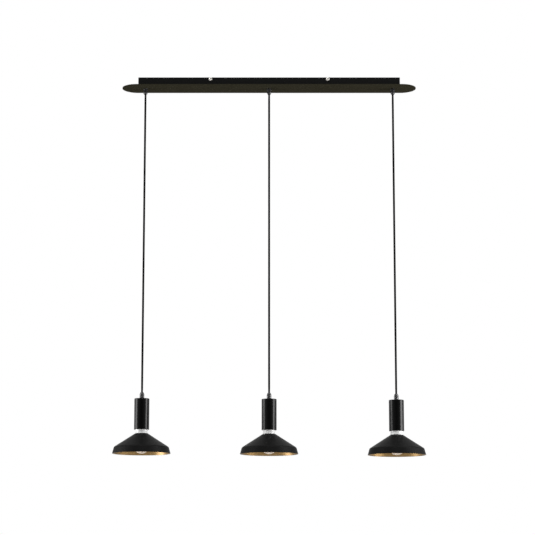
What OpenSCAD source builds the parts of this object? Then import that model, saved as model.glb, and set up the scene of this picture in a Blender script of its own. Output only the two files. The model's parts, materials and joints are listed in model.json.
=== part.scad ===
// Linear pendant light: three small spun-metal shades on cords, under one long ceiling canopy.
// Millimetres. The origin is on the ceiling above the middle pendant, +Z is up, X runs along the canopy.

/* [Canopy] */
// Length of the flat plate with round ends that closes the canopy from below
plate_l = 800; // [760:1:900]
// Width of that plate
plate_w = 82; // [70:1:110]
// Thickness of that plate
plate_t = 2; // [1:0.5:4]
// Length of the canopy box that stands on the plate
tray_l = 710; // [700:1:740]
// Depth of the box, front to back
tray_d = 60; // [54:1:68]
// Height of the box
tray_h = 21.5; // [21:0.5:36]
// Sheet thickness of the box
tray_sheet = 1; // [0.6:0.1:1.6]
// Radius of the upright corners of the box
tray_corner_r = 2.5; // [2:0.5:8]
// Gap between the rim of the box and the ceiling
ceiling_gap = 0.5; // [0.3:0.1:2]

/* [Ceiling bracket] */
// Length of the steel strip screwed to the ceiling
bracket_l = 360; // [340:1:420]
// Width of the strip
bracket_w = 34; // [28:1:40]
// Sheet thickness of the strip
bracket_t = 1.5; // [1:0.5:2.5]
// Width of each of its four turned-down ears
ear_w = 20; // [14:1:28]
// Height of the ears
ear_h = 12; // [10:0.5:14]
// Distance between the two slots for the ceiling screws
slot_pitch = 220; // [160:1:260]
// Distance between the round ends of one slot
slot_run = 20; // [10:1:30]
// Width of the slots
slot_w = 5.5; // [4.5:0.5:7]

/* [Side screws] */
// Distance between the two screws on one face of the box
screw_pitch = 318; // [280:1:320]
// Height of the screw axes, down from the ceiling
screw_drop = 6; // [5.6:0.1:7]
// Diameter of the thumb heads
screw_head_d = 10; // [8:0.5:11]
// Length of the thumb heads
screw_head_l = 4; // [3:0.5:6]
// Diameter of the shanks
screw_d = 4; // [3:0.5:5]
// Length of the shanks under the heads
screw_l = 7; // [5:0.5:10]

/* [Cords and grips] */
// Distance between neighbouring pendants
pendant_pitch = 337; // [320:1:340]
// Distance from the ceiling to the top of the middle sleeve
drop = 873; // [500:1:1500]
// How far the left head is set above the middle one
left_rise = 1.5; // [0:0.5:20]
// How far the right head is set below the middle one
right_fall = 2.5; // [0:0.5:20]
// Diameter of the cords
cord_d = 5; // [4.6:0.1:5.4]
// Diameter of a cord grip at its base
grip_d = 12.4; // [11.6:0.2:15]
// Height of a cord grip
grip_h = 16.5; // [14:0.5:22]
// Diameter of its narrow end
grip_tip_d = 8; // [7.8:0.1:9.5]
// Height of its tapered end
grip_taper_h = 5; // [3:0.5:8]
// Depth of the thread in its base
grip_thread_h = 5; // [4:0.5:7]
// Outer diameter of the threaded tubes
tube_d = 8; // [7.8:0.1:9]
// Bore of the threaded tubes
tube_bore = 6.2; // [6:0.1:6.6]
// Width across flats of the lock nuts
nut_af = 12; // [11:0.5:14]
// Height of the lock nuts
nut_h = 4; // [2.5:0.5:5]

/* [Sleeve and neck] */
// Diameter of the sleeve over the lampholder
sleeve_d = 40; // [39.6:0.1:46]
// Height of the sleeve
sleeve_h = 82.5; // [70:0.5:120]
// Wall of the sleeve
sleeve_wall = 1.2; // [0.8:0.1:1.2]
// Thickness of its closed top
sleeve_top_t = 1.5; // [1:0.5:3]
// Rounding of its upper edge
sleeve_edge_r = 1.5; // [0.5:0.1:2.5]
// Diameter of the opal ring between sleeve and shade
neck_d = 33; // [31:0.5:36]
// Height of that ring
neck_h = 10; // [6:0.5:16]
// Height of the ring's collar inside the sleeve
neck_collar_h = 3; // [2:0.5:6]
// Depth of the fine groove round the middle of the ring
neck_groove = 0.5; // [0.2:0.1:1]

/* [Shade] */
// Diameter of the shade at its rim
rim_d = 154; // [140:1:180]
// Height of the shade
shade_h = 53; // [48:0.5:62]
// Diameter where the cone meets the skirt
shoulder_d = 144.6; // [136:0.2:150]
// Depth of that shoulder below the top of the shade
shoulder_drop = 35.8; // [30:0.2:42]
// Diameter of the flat top
shade_top_d = 33.6; // [32:0.2:40]
// Sheet thickness of the shade
shade_t = 1; // [0.6:0.1:1.5]
// Rounding of the shoulder
shoulder_r = 6; // [3:0.5:10]
// Diameter of the ring nut under the top of the shade
ring_d = 38; // [35:0.5:41]
// Height of the ring nut
ring_h = 6.5; // [6:0.5:9]

/* [Lampholder] */
// Outer diameter of the threaded skirt
skirt_d = 28; // [27.6:0.1:28.6]
// Bore of the skirt
skirt_bore = 24; // [23.6:0.1:24.6]
// Diameter of the flange on the skirt
flange_d = 36; // [34:0.5:37]
// Thickness of the flange
flange_t = 2; // [1:0.5:3]
// Outer diameter of the cap above the skirt
cap_d = 27; // [26.6:0.1:29]
// Wall of the cap
cap_wall = 1.9; // [1.4:0.1:2.1]
// Height of the cap
cap_h = 26; // [22:0.5:28]
// Height of the threaded boss on the cap
boss_h = 8; // [5:0.5:10]
// Thickness of the insulating disc inside
insert_t = 6; // [4:0.5:8]
// Outer diameter of the insulating collar round the screw shell
insert_collar_d = 19; // [18:0.1:19.4]
// Wall of the metal screw shell
shell_wall = 0.5; // [0.3:0.1:0.8]
// Length of the screw shell
shell_l = 20; // [16:0.5:21]

/* [Bulb] */
// Diameter of the round bulb
bulb_d = 45; // [40:0.5:46]
// Length of the bulb, tip to end
bulb_l = 78; // [74:0.5:84]
// Length of the bulb's metal cap with its contact
bulb_cap_l = 29; // [27:0.5:30]
// Diameter of the cap's thread
bulb_cap_d = 13.6; // [13:0.1:13.8]
// Diameter of the bulb's neck
bulb_neck_d = 18; // [16:0.5:20]
// Wall of the bulb
bulb_wall = 1; // [0.6:0.1:1.5]

/* [Wiring] */
// Distance from the middle of the canopy to the terminal block
block_x = 75; // [70:1:80]
// Length of the terminal block, along its wires
block_l = 18; // [16:1:22]
// Height of the terminal block
block_h = 13; // [11:0.5:14]
// Distance between its poles
pole_pitch = 10; // [9:0.5:11]
// Diameter of its wire holes
pole_d = 4.6; // [4.4:0.1:5.4]
// Diameter of the insulated leads
lead_d = 1.8; // [1.4:0.1:1.9]

/* [Clearances] */
// Gap round parts that slide, swing or are put together by hand
loose = 0.3; // [0.2:0.05:0.35]
// Gap in threads and snug seats
snug = 0.1; // [0.05:0.01:0.15]

/* [Hidden] */
$fn = 64;
CANOPY_NODES = ["ceiling_bracket", "canopy_tray", "canopy_plate", "side_screws", "canopy_grips",
    "canopy_tubes", "grip_nuts", "terminal_block", "terminal_screws", "earth_screw", "cord_tails",
    "live_leads", "neutral_leads", "earth_leads"];
PENDANT_NODES = ["cord", "sleeve_grip", "sleeve", "threaded_tube", "lock_nuts", "holder_cap",
    "holder_skirt", "holder_insert", "holder_contacts", "holder_leads", "neck_ring", "shade",
    "shade_ring", "bulb_glass", "bulb_cap"];

// Canopy levels, down from the ceiling, and small sizes of its pieces
z_rim_top = -ceiling_gap;
z_plate_top = z_rim_top - tray_h;
z_plate = z_plate_top - plate_t;
z_floor = z_plate_top + tray_sheet;
bracket_corner_r = 4;
tube_past_nut = 1.5;
head_edge_r = 0.8;
head_foot_r = 0.4;
shank_end_r = 0.5;

// Pendants: their places along the canopy, and the heights of their sleeves
xs = [-pendant_pitch, 0, pendant_pitch];
heads = [-drop + left_rise, -drop, -drop - right_fall];
cord_r = cord_d / 2;
tube_r = tube_d / 2;

// A cord bends at a point just inside the mouth of its grip, and swings this far either way
swing = 20;
pivot_in = 0.8;
cord_tip_h = 2;
cord_tip_d = 2.4;
grip_bore_r = cord_r + loose;
grip_mouth_r = pivot_in * tan(swing) + cord_r / cos(swing) + loose;
grip_edge_r = 1.5;
grip_foot_r = 0.4;
grip_tip_r = 0.3;
pivot_up = grip_h - pivot_in;
tail_up = pivot_up - cord_r - loose;

// Head levels, down from the top of the sleeve
z_sleeve_end = -sleeve_h;
z_shade = z_sleeve_end - neck_h;
z_rim = z_shade - shade_h;
z_tip = z_rim + bulb_l;
tongue_h = 2.2;
tongue_d = 4;
z_insert = z_tip + loose + tongue_h;
z_cap_top = z_insert + cap_h;
cap_top_t = 3;
tube_past_cap = 2;
z_tube_end = z_cap_top - cap_top_t - tube_past_cap;
z_collar = z_sleeve_end + neck_collar_h;
z_ring = z_shade - shade_t - ring_h;
skirt_past_ring = 1;
z_skirt_end = z_ring - skirt_past_ring;
skirt_r = skirt_d / 2;
neck_bore_r = skirt_r + 2 * snug;
neck_edge_r = 0.6;
sleeve_bore_r = sleeve_d / 2 - sleeve_wall;
sleeve_lip_r = 0.7;
shade_edge_r = 3;
ring_edge_r = 1;
ring_seat_r = shade_top_d / 2 - shade_t - 2 * snug;
cap_edge_r = 5;
boss_d = 14;
boss_edge_r = 0.5;
ledge_t = 2;
ledge_r = insert_collar_d / 2 + loose;

// Lampholder contacts and bulb
shell_r = bulb_cap_d / 2 + loose;
insert_bore_r = shell_r + shell_wall + snug;
bulb_seat = 3;
z_neck_top = z_tip - bulb_cap_l + bulb_seat;
z_shell_end = z_neck_top + loose;
bulb_tip_d = 4.8;
bulb_tip_h = 1.2;
bulb_cone_h = 6;
bulb_cone_step = 2;
post_d = 4;
post_h = 3;
post_x = 6;
jacket_past_tube = 2;
head_lead_run = 4;
head_lead_r = 1.5;

// Terminal block: its poles, the grooves between them, and its screws
pole_z = z_floor + block_h / 2;
block_w = 3 * pole_pitch;
poles = [-pole_pitch, 0, pole_pitch];
groove_w = 2;
groove_h = 6;
groove_l = 4.5;
clamp_d = 3.6;
clamp_h = 3.5;
fix_d = 3;
fix_head_d = 5.4;
fix_head_h = 2;

// Earth screw and the lug under its head
earth_x = 130;
earth_y = 18;
earth_d = 4;
earth_head_d = 8;
earth_head_h = 3;
lug_t = 0.8;
lug_d = 8.4;
lug_barrel_d = 3.4;
lug_barrel_l = 5;
lug_reach = 10;

// Cord tails in the canopy: which way each runs, its level stretch above the tube, and where it is down again
tail_bend_r = 7.5;
tail_high = 14;
tail_mid = 10;
z_tail_high = z_floor + tail_high;
z_tail_mid = z_floor + tail_mid;
z_tail_low = z_floor + cord_r + loose;
tail_side = [1, 1, -1];
tail_level = [24, 20, 24];
tail_down = [50, 28, 50];
tail_end_y = [-16, 0, -6];
tail_end_z = [z_tail_low, z_tail_mid, z_tail_low];
jacket_stop = 40;
jacket_ends = [for (i = [0:2]) [block_x - tail_side[i] * jacket_stop, tail_end_y[i], tail_end_z[i]]];

// Leads from the jackets to the poles: their places in a jacket, straight stretches, and levels in a pole
lead_bend_r = 4;
core_pitch = 1.2;
core_angles = [210, 90, 330];
lead_run = 6;
lead_in_pole = 4;
lead_to_lug = 8;
core_level = [-1, 1, 1];
earth_level = -1;

// A unit vector, and the arc of radius r that rounds the corner b between a and c
function unit(v) = v / norm(v);
function bend(a, b, c, r, n) =
    let (u = unit(a - b), v = unit(c - b), turn = 180 - acos(u * v),
        s = b + u * r * tan(turn / 2), e = b + v * r * tan(turn / 2),
        m = b + unit(u + v) * r / cos(turn / 2))
    [for (k = [0:n]) m + (sin(turn * (1 - k / n)) * (s - m) + sin(turn * k / n) * (e - m)) / sin(turn)];

// A path with its corners rounded by the radii in r, where 0 keeps a corner sharp
function rounded(p, r, n = 6) = [for (i = [0:len(p) - 1])
    each (r[i] == 0 ? [p[i]] : bend(p[i - 1], p[i], p[i + 1], r[i], n))];

// The corner of an outline moved inward by a wall, to the right of its direction
function right(a, b) = let (d = unit(b - a)) [d.y, -d.x];
function inset(a, b, c, t) = let (m = right(a, b), n = right(b, c)) b + t * (m + n) / (1 + m * n);

// Directions along a route, and a side vector carried along it without twist
function along(p, i) = unit(p[min(i + 1, len(p) - 1)] - p[max(i - 1, 0)]);
function carry(n, t) = unit(n - (n * t) * t);
function sides(p) = [for (i = 0, n = carry([0.3, 1, 0.2], along(p, 0)); i < len(p);
    i = i + 1, n = i < len(p) ? carry(n, along(p, i)) : n) n];

// A round cord or lead along a route
module tube_along(p, d, n = 8) {
    side = sides(p);
    points = [for (i = [0:len(p) - 1]) for (k = [0:n - 1])
        p[i] + d / 2 * (cos(360 * k / n) * side[i] + sin(360 * k / n) * cross(along(p, i), side[i]))];
    walls = [for (i = [0:len(p) - 2]) for (k = [0:n - 1]) let (a = i * n + k, b = i * n + (k + 1) % n)
        each [[a, b + n, b], [a, a + n, b + n]]];
    polyhedron(points, concat([[for (k = [0:n - 1]) k]], walls,
        [[for (k = [0:n - 1]) len(p) * n - 1 - k]]));
}

// A ring between two radii and two levels
module ring(r0, r1, z0, z1) {
    rotate_extrude() translate([r0, z0]) square([r1 - r0, z1 - z0]);
}

// A rectangle with rounded corners, centred
module rounded_plate(l, w, r) {
    square([l - 2 * r, w], center = true);
    square([l, w - 2 * r], center = true);
    for (x = [-1, 1], y = [-1, 1]) translate([x * (l / 2 - r), y * (w / 2 - r)]) circle(r);
}

// A slot or plate with round ends, centred
module stadium(run, w) {
    square([run, w], center = true);
    for (x = [-1, 1]) translate([x * run / 2, 0]) circle(d = w);
}

// The upper part of a side screw's axis, on either face of the box: children point to the front
module at_side_screws() {
    for (x = [-1, 1], y = [0, 180])
        rotate([0, 0, y]) translate([x * screw_pitch / 2, 0, -screw_drop]) rotate([90, 0, 0]) children();
}

module ceiling_bracket() {
    ear_face = tray_d / 2 - tray_sheet - loose;
    color("silver") difference() {
        union() {
            translate([0, 0, -bracket_t]) linear_extrude(bracket_t) {
                rounded_plate(bracket_l, bracket_w, bracket_corner_r);
                for (x = [-1, 1]) translate([x * screw_pitch / 2, 0])
                    square([ear_w, 2 * ear_face], center = true);
            }
            for (x = [-1, 1], y = [0, 180]) rotate([0, 0, y])
                translate([x * screw_pitch / 2 - ear_w / 2, ear_face - bracket_t, -ear_h])
                    cube([ear_w, bracket_t, ear_h]);
        }
        for (x = [-1, 1]) translate([x * slot_pitch / 2, 0, -2 * bracket_t])
            linear_extrude(3 * bracket_t) stadium(slot_run, slot_w);
        at_side_screws() cylinder(d = screw_d + 2 * snug, h = tray_d / 2);
    }
}

module canopy_tray() {
    color([0.04, 0.04, 0.04]) difference() {
        translate([0, 0, z_plate_top]) linear_extrude(tray_h)
            rounded_plate(tray_l, tray_d, tray_corner_r);
        translate([0, 0, z_floor]) linear_extrude(tray_h)
            rounded_plate(tray_l - 2 * tray_sheet, tray_d - 2 * tray_sheet, tray_corner_r - tray_sheet);
        at_side_screws() cylinder(d = screw_d + 2 * loose, h = tray_d);
        translate([0, 0, z_plate_top - tray_sheet]) {
            for (x = xs) translate([x, 0]) cylinder(r = tube_r + snug, h = 3 * tray_sheet);
            translate([block_x, pole_pitch / 2]) cylinder(d = fix_d + 2 * snug, h = 3 * tray_sheet);
            translate([earth_x, earth_y]) cylinder(d = earth_d + 2 * snug, h = 3 * tray_sheet);
        }
    }
}

module canopy_plate() {
    color([0.08, 0.08, 0.075]) difference() {
        translate([0, 0, z_plate]) linear_extrude(plate_t) stadium(plate_l - plate_w, plate_w);
        for (x = xs) translate([x, 0, z_plate - plate_t]) cylinder(r = tube_r + snug, h = 3 * plate_t);
    }
}

module side_screws() {
    color("gray") at_side_screws() translate([0, 0, tray_d / 2]) rotate_extrude()
        polygon(rounded([[0, screw_head_l], [screw_head_d / 2, screw_head_l], [screw_head_d / 2, 0],
            [screw_d / 2, 0], [screw_d / 2, -screw_l], [0, -screw_l]],
            [0, head_edge_r, head_foot_r, 0, shank_end_r, 0], 3));
}

// A cord grip that stands on z = 0 with its mouth up
module cord_grip() {
    rotate_extrude() polygon(rounded([[tube_r + snug, 0], [grip_d / 2, 0],
        [grip_d / 2, grip_h - grip_taper_h], [grip_tip_d / 2, grip_h], [grip_mouth_r, grip_h],
        [grip_bore_r, pivot_up], [grip_bore_r, grip_thread_h], [tube_r + snug, grip_thread_h]],
        [0, grip_foot_r, grip_edge_r, grip_tip_r, 0, 0, 0, 0], 4));
}

module canopy_grips() {
    color([0.12, 0.12, 0.12]) for (x = xs) translate([x, 0, z_plate]) mirror([0, 0, 1]) cord_grip();
}

module canopy_tubes() {
    color("silver") for (x = xs) translate([x, 0, 0])
        ring(tube_bore / 2, tube_r, z_plate - grip_thread_h, z_floor + nut_h + tube_past_nut);
}

// A lock nut that stands on z = 0
module lock_nut() {
    difference() {
        cylinder(d = nut_af / cos(30), h = nut_h, $fn = 6);
        translate([0, 0, -nut_h]) cylinder(r = tube_r + snug, h = 3 * nut_h);
    }
}

module grip_nuts() {
    color("silver") for (x = xs) translate([x, 0, z_floor]) lock_nut();
}

module terminal_block() {
    color("ivory") difference() {
        translate([block_x - block_l / 2, -block_w / 2, z_floor]) cube([block_l, block_w, block_h]);
        for (y = poles) translate([block_x - block_l, y, pole_z]) rotate([0, 90, 0])
            cylinder(d = pole_d, h = 2 * block_l);
        for (y = poles, x = [-1, 1]) translate([block_x + x * block_l / 4, y, pole_z])
            cylinder(d = clamp_d + 2 * snug, h = block_h);
        for (y = [-1, 1]) translate([block_x, y * pole_pitch / 2, z_floor - block_h])
            cylinder(d = fix_d + 2 * snug, h = 3 * block_h);
        for (y = [-1, 1], x = [-1, 1])
            translate([block_x + x * (block_l - groove_l) / 2, y * pole_pitch / 2, z_floor + block_h])
                cube([groove_l, groove_w, 2 * groove_h], center = true);
    }
}

module terminal_screws() {
    color("gold") {
        for (y = poles, x = [-1, 1])
            translate([block_x + x * block_l / 4, y, z_floor + block_h - clamp_h])
                cylinder(d = clamp_d, h = clamp_h);
        translate([block_x, pole_pitch / 2, z_floor]) {
            translate([0, 0, -tray_sheet]) cylinder(d = fix_d, h = tray_sheet + block_h + fix_head_h / 2);
            translate([0, 0, block_h]) cylinder(d = fix_head_d, h = fix_head_h);
        }
    }
}

module earth_screw() {
    color("silver") translate([earth_x, earth_y, z_floor]) {
        translate([0, 0, -tray_sheet]) cylinder(d = earth_d, h = tray_sheet + lug_t + earth_head_h / 2);
        translate([0, 0, lug_t]) cylinder(d = earth_head_d, h = earth_head_h);
        difference() {
            union() {
                cylinder(d = lug_d, h = lug_t);
                translate([-lug_reach, -lug_barrel_d / 2, 0]) cube([lug_reach, lug_barrel_d, lug_t]);
                translate([-lug_reach, 0, lug_barrel_d / 2]) rotate([0, 90, 0])
                    cylinder(d = lug_barrel_d, h = lug_barrel_l);
            }
            translate([0, 0, -lug_t]) cylinder(d = earth_d + 2 * snug, h = 3 * lug_t);
        }
    }
}

// The route of a cord tail: up through its tube, level, down to the end of its jacket
function tail_route(i) = let (x = xs[i], s = tail_side[i], e = jacket_ends[i])
    [[x, 0, z_plate - tail_up], [x, 0, z_tail_high], [x + s * tail_level[i], 0, z_tail_high],
        [x + s * tail_down[i], e.y, e.z], e];

module cord_tails() {
    bends = [0, tail_bend_r, tail_bend_r, tail_bend_r, 0];
    color([0.03, 0.03, 0.03]) for (i = [0:2]) tube_along(rounded(tail_route(i), bends, 5), cord_d);
}

// The route of one core from the end of jacket i to its pole, where two cores lie one above the other
function core_route(i, c) = let (s = tail_side[i], a = core_angles[c], f = block_x - s * block_l / 2,
    q = jacket_ends[i] + core_pitch * [0, cos(a), sin(a)], y = poles[c], z = pole_z + core_level[i])
    [q, q + [s * lead_run, 0, 0], [f - s * lead_run, y, z], [f + s * lead_in_pole, y, z]];

module cores(c) {
    for (i = [0:2]) tube_along(rounded(core_route(i, c), [0, lead_bend_r, lead_bend_r, 0], 3), lead_d);
}

module live_leads() {
    color("saddlebrown") cores(0);
}

module neutral_leads() {
    color("royalblue") cores(1);
}

module earth_leads() {
    y = poles[2];
    z = pole_z + earth_level;
    f = block_x + block_l / 2;
    barrel = [earth_x - lug_reach, earth_y, z_floor + lug_barrel_d / 2];
    color("yellowgreen") {
        cores(2);
        tube_along(rounded([[f - lead_in_pole, y, z], [f + lead_to_lug, y, z], barrel - [lead_to_lug, 0, 0],
            barrel], [0, lead_bend_r, lead_bend_r, 0], 3), lead_d);
    }
}

// The free stretch of a cord, between the points where it bends in its two grips
module cord(i) {
    z1 = z_plate - pivot_up;
    z2 = heads[i] + pivot_up;
    color([0.02, 0.02, 0.02]) translate([xs[i], 0, 0]) rotate_extrude()
        polygon([[0, z2 - cord_tip_h], [cord_tip_d / 2, z2 - cord_tip_h], [cord_r, z2], [cord_r, z1],
            [cord_tip_d / 2, z1 + cord_tip_h], [0, z1 + cord_tip_h]]);
}

module at_head(i) {
    translate([xs[i], 0, heads[i]]) children();
}

module sleeve_grip(i) {
    color([0.12, 0.12, 0.12]) at_head(i) cord_grip();
}

module sleeve(i) {
    r = sleeve_d / 2;
    color([0.03, 0.03, 0.03]) at_head(i) rotate_extrude()
        polygon(rounded([[tube_r + snug, 0], [r, 0], [r, z_sleeve_end], [sleeve_bore_r, z_sleeve_end],
            [sleeve_bore_r, -sleeve_top_t], [tube_r + snug, -sleeve_top_t]],
            [0, sleeve_edge_r, sleeve_lip_r, 0, 0, 0]));
}

module threaded_tube(i) {
    color("silver") at_head(i) ring(tube_bore / 2, tube_r, z_tube_end, grip_thread_h);
}

module lock_nuts(i) {
    color("silver") at_head(i) {
        translate([0, 0, -sleeve_top_t - nut_h]) lock_nut();
        translate([0, 0, z_cap_top + boss_h]) lock_nut();
    }
}

module holder_cap(i) {
    r = cap_d / 2;
    color("black") at_head(i) rotate_extrude()
        polygon(rounded([[r, z_insert], [r, z_cap_top], [boss_d / 2, z_cap_top],
            [boss_d / 2, z_cap_top + boss_h], [tube_r + snug, z_cap_top + boss_h],
            [tube_r + snug, z_cap_top - cap_top_t], [r - cap_wall, z_cap_top - cap_top_t],
            [r - cap_wall, z_insert]],
            [0, cap_edge_r, boss_edge_r, boss_edge_r, 0, 0, cap_edge_r - cap_wall, 0]));
}

module holder_skirt(i) {
    b = skirt_bore / 2;
    color("black") at_head(i) rotate_extrude()
        polygon([[b, z_skirt_end], [skirt_r, z_skirt_end], [skirt_r, z_collar], [flange_d / 2, z_collar],
            [flange_d / 2, z_collar + flange_t], [skirt_r, z_collar + flange_t], [skirt_r, z_insert],
            [ledge_r, z_insert], [ledge_r, z_insert - ledge_t], [b, z_insert - ledge_t]]);
}

module holder_insert(i) {
    disc_r = cap_d / 2 - cap_wall - 2 * snug;
    color("white") at_head(i) rotate_extrude()
        polygon([[0, z_insert], [0, z_insert + insert_t], [disc_r, z_insert + insert_t], [disc_r, z_insert],
            [insert_collar_d / 2, z_insert], [insert_collar_d / 2, z_shell_end],
            [insert_bore_r, z_shell_end], [insert_bore_r, z_insert]]);
}

module holder_contacts(i) {
    color("goldenrod") at_head(i) {
        ring(shell_r, shell_r + shell_wall, z_shell_end, z_shell_end + shell_l);
        translate([0, 0, z_insert - tongue_h]) cylinder(d = tongue_d, h = tongue_h);
        for (x = [-1, 1]) translate([x * post_x, 0, z_insert + insert_t]) cylinder(d = post_d, h = post_h);
    }
}

// The end of the cord inside the head: its jacket in the threaded tube, and a lead to each contact post
module holder_leads(i) {
    z_jacket = z_tube_end - jacket_past_tube;
    z_post = z_insert + insert_t + post_h;
    color([0.03, 0.03, 0.03]) at_head(i) {
        tube_along([[0, 0, tail_up], [0, 0, z_jacket]], cord_d);
        for (x = [-1, 1]) tube_along(rounded([[x * core_pitch, 0, z_jacket],
            [x * core_pitch, 0, z_jacket - head_lead_run], [x * post_x, 0, z_post + head_lead_run],
            [x * post_x, 0, z_post]], [0, head_lead_r, head_lead_r, 0], 3), lead_d);
    }
}

module neck_ring(i) {
    r = neck_d / 2;
    collar_r = sleeve_bore_r - 2 * snug;
    z_groove = z_shade + neck_h / 2;
    color("white") at_head(i) rotate_extrude()
        polygon(rounded([[neck_bore_r, z_shade], [r, z_shade], [r, z_groove - neck_groove],
            [r - neck_groove, z_groove], [r, z_groove + neck_groove], [r, z_sleeve_end],
            [collar_r, z_sleeve_end], [collar_r, z_collar], [neck_bore_r, z_collar]],
            [0, neck_edge_r, 0, 0, 0, 0, 0, 0, 0], 3));
}

// A spun shade: flat top, straight cone, rounded shoulder and a short flared skirt, all of one sheet
module shade(i) {
    hole = [neck_bore_r, z_shade];
    top = [shade_top_d / 2, z_shade];
    shoulder = [shoulder_d / 2, z_shade - shoulder_drop];
    rim = [rim_d / 2, z_rim];
    rim_in = [rim.x + shade_t / right(shoulder, rim).x, z_rim];
    color([0.06, 0.06, 0.06]) at_head(i) rotate_extrude()
        polygon(rounded([hole, top, shoulder, rim, rim_in, inset(top, shoulder, rim, shade_t),
            inset(hole, top, shoulder, shade_t), [hole.x, hole.y - shade_t]],
            [0, shade_edge_r, shoulder_r, 0, 0, shoulder_r - shade_t, shade_edge_r - shade_t, 0]));
}

// The ring nut bevels back under the cone, so that it bears on the flat top of the shade only
module shade_ring(i) {
    color("black") at_head(i) rotate_extrude()
        polygon(rounded([[skirt_r + snug, z_ring], [ring_d / 2, z_ring],
            [ring_d / 2, z_ring + ring_h + ring_seat_r - ring_d / 2], [ring_seat_r, z_ring + ring_h],
            [skirt_r + snug, z_ring + ring_h]], [0, ring_edge_r, 0, 0, 0], 3));
}

module bulb_glass(i) {
    r = bulb_d / 2;
    color("linen") at_head(i) translate([0, 0, z_rim + r]) difference() {
        union() {
            sphere(r);
            cylinder(d = bulb_neck_d, h = z_neck_top - z_rim - r);
        }
        sphere(r - bulb_wall);
        cylinder(r = bulb_cap_d / 2 + snug, h = 2 * r);
    }
}

module bulb_cap(i) {
    r = bulb_cap_d / 2;
    z = z_tip - bulb_tip_h;
    color("silver") at_head(i) rotate_extrude()
        polygon([[0, z_tip], [bulb_tip_d / 2, z_tip], [bulb_tip_d / 2, z],
            [r - bulb_cone_step, z - bulb_cone_h / 2], [r, z - bulb_cone_h],
            [r, z_tip - bulb_cap_l], [0, z_tip - bulb_cap_l]]);
}

ceiling_bracket();
canopy_tray();
canopy_plate();
side_screws();
canopy_grips();
canopy_tubes();
grip_nuts();
terminal_block();
terminal_screws();
earth_screw();
cord_tails();
live_leads();
neutral_leads();
earth_leads();
for (i = [0:2]) {
    cord(i);
    sleeve_grip(i);
    sleeve(i);
    threaded_tube(i);
    lock_nuts(i);
    holder_cap(i);
    holder_skirt(i);
    holder_insert(i);
    holder_contacts(i);
    holder_leads(i);
    neck_ring(i);
    shade(i);
    shade_ring(i);
    bulb_glass(i);
    bulb_cap(i);
}
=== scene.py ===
import json
import math

import bmesh
import bpy
from mathutils import Matrix, Vector


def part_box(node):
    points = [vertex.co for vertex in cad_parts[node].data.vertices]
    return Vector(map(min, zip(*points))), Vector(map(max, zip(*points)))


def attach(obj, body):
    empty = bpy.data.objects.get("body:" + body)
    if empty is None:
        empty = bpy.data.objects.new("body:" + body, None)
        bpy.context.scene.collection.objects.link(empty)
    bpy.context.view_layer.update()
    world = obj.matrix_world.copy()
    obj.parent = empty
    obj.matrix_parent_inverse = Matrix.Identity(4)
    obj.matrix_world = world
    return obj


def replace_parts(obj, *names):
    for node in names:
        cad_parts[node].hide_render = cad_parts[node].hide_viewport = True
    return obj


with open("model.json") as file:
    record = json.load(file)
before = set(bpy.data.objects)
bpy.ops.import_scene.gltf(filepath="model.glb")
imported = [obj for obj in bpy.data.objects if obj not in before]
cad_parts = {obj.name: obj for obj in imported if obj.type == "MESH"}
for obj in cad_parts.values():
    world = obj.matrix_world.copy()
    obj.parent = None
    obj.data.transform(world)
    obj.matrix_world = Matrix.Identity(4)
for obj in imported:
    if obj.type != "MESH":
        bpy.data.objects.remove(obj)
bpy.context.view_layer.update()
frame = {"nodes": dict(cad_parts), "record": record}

# A linear pendant light: its looks, its cords, a plain studio and the photograph's camera.
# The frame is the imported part's: the ceiling is z = 0, and the viewer is on the -Y side.
# Values are in metres and degrees, or in millimetres where their heading says so.

MM = 0.001
TINY = 1e-6
UPRIGHT = Matrix.Identity(3)
UPSIDE_DOWN = Matrix.Rotation(math.pi, 3, "X")
NODES = frame["nodes"]
PENDANTS = (1, 2, 3)

# Camera: in front of the middle pendant, below the lamps, tilted up. Its lens and sensor are in millimetres
CAMERA_AT = (0, -4.5, -1.314)
CAMERA_TILT = 9.12
CAMERA_LENS = 114.6
CAMERA_SENSOR = 36
CAMERA_SHIFT = (-0.003, 0.05)

# Meshes: the angle from which an edge is sharp, and the stretches in the arc of a bend and of a round edge
CREASE = 32
BEND_STEPS = 8
EDGE_STEPS = 4

# Free cords, in millimetres. Between its two grips a cord's braid stands a little proud of the solid
CORD_D = 5
CORD_TIP_D = 2.4
CORD_TIP_H = 2
CORD_RINGS = 48
CORD_FACETS = 24
BRAID_D = 5.5
BRAID_STRANDS = 8
BRAID_PITCH = 14

# Cord tails in the canopy, in millimetres. Each reaches the terminal block from the left, 1, or the right, -1
TAIL_ROUTES = (
    ((-337, 0, -36.9), (-337, 0, -7), (-313, 0, -7), (-287, -16, -18.2), (35, -16, -18.2)),
    ((0, 0, -36.9), (0, 0, -7), (20, 0, -7), (28, 0, -11), (35, 0, -11)),
    ((337, 0, -36.9), (337, 0, -7), (313, 0, -7), (287, -6, -18.2), (115, -6, -18.2)),
)
TAIL_WAYS = (1, 1, -1)
TAIL_BEND = 7.5
TAIL_STEP = 20
TAIL_FACETS = 20

# Cores of the tails and the earth lead, in millimetres. A level is the height of a tail's cores in a pole
CORES = (("brown_lead", "live_leads"), ("blue_lead", "neutral_leads"), ("earth_lead", "earth_leads"))
CORE_PITCH = 1.2
CORE_ANGLES = (210, 90, 330)
CORE_LEVELS = (-1, 1, 1)
LEAD_D = 1.8
LEAD_BEND = 4
LEAD_RUN = 6
LEAD_IN_POLE = 4
LEAD_FACETS = 14
BLOCK_X = 75
BLOCK_L = 18
POLES = (-10, 0, 10)
POLE_Z = -14.5
EARTH_ROUTE = ((80, 10, -15.5), (92, 10, -15.5), (112, 18, -19.3), (120, 18, -19.3))

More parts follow.
